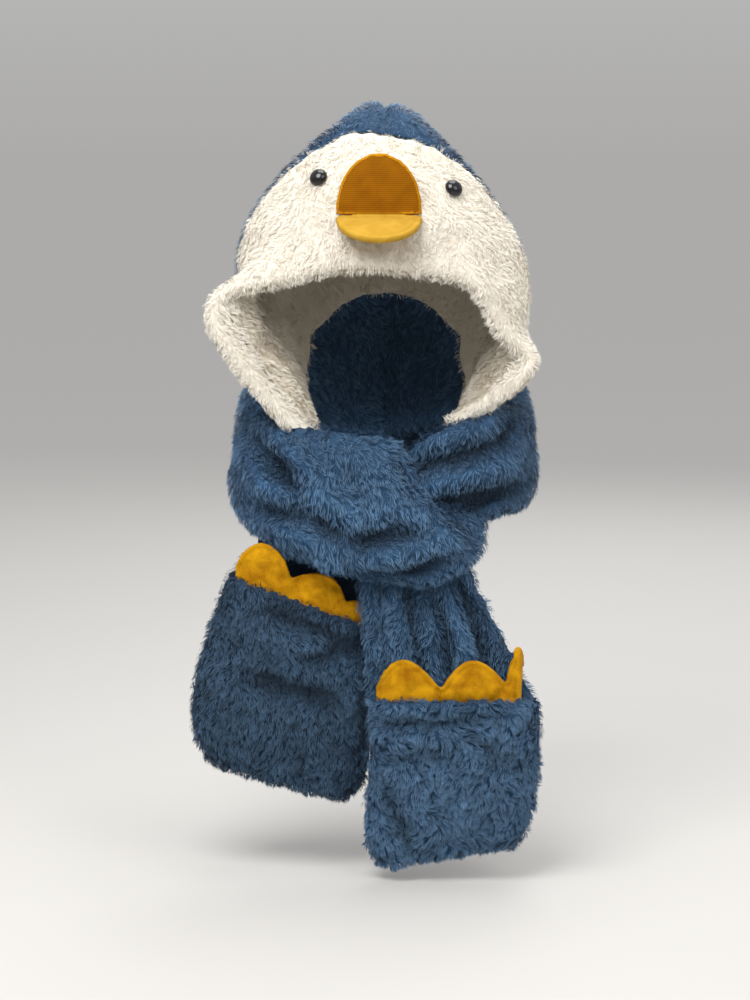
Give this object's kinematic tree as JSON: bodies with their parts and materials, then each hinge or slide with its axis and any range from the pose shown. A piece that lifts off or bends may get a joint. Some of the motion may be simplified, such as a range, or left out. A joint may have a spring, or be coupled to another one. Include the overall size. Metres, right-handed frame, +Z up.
{
  "type": "animal hood scarf",
  "caption": "plush penguin hood with a folded beak, joined to a scarf that is crossed at the neck and ends in pockets with toe trims",
  "frame": {"origin": "the highest point inside the crown of the hood, where it sits on a head", "axes": "+Z up, the face looks along -Y, +X to the viewer's right of the face"},
  "size_m": [0.3329, 0.3033, 0.7165],
  "materials": {
    "blue_fur": "deep dusty blue plush pile",
    "navy_fur": "the same plush, lying in shade",
    "white_fur": "short off-white plush pile",
    "cream_fleece": "cream fleece lining",
    "yellow_velvet": "golden yellow velvet with a soft sheen",
    "black_bead": "glossy black dome"
  },
  "bodies": {
    "root": {"hood_shell": "blue_fur", "face_panel": "white_fur", "hood_lining": "cream_fleece", "wrap_over": "blue_fur", "wrap_under": "blue_fur", "tail_right": "blue_fur", "tail_left": "navy_fur", "pocket_right": "blue_fur", "pocket_left": "blue_fur", "toes_right": "yellow_velvet", "toes_left": "yellow_velvet", "beak_lower": "yellow_velvet", "beak_upper": "yellow_velvet", "eye_left": "black_bead", "eye_right": "black_bead"}
  },
  "joints": []
}
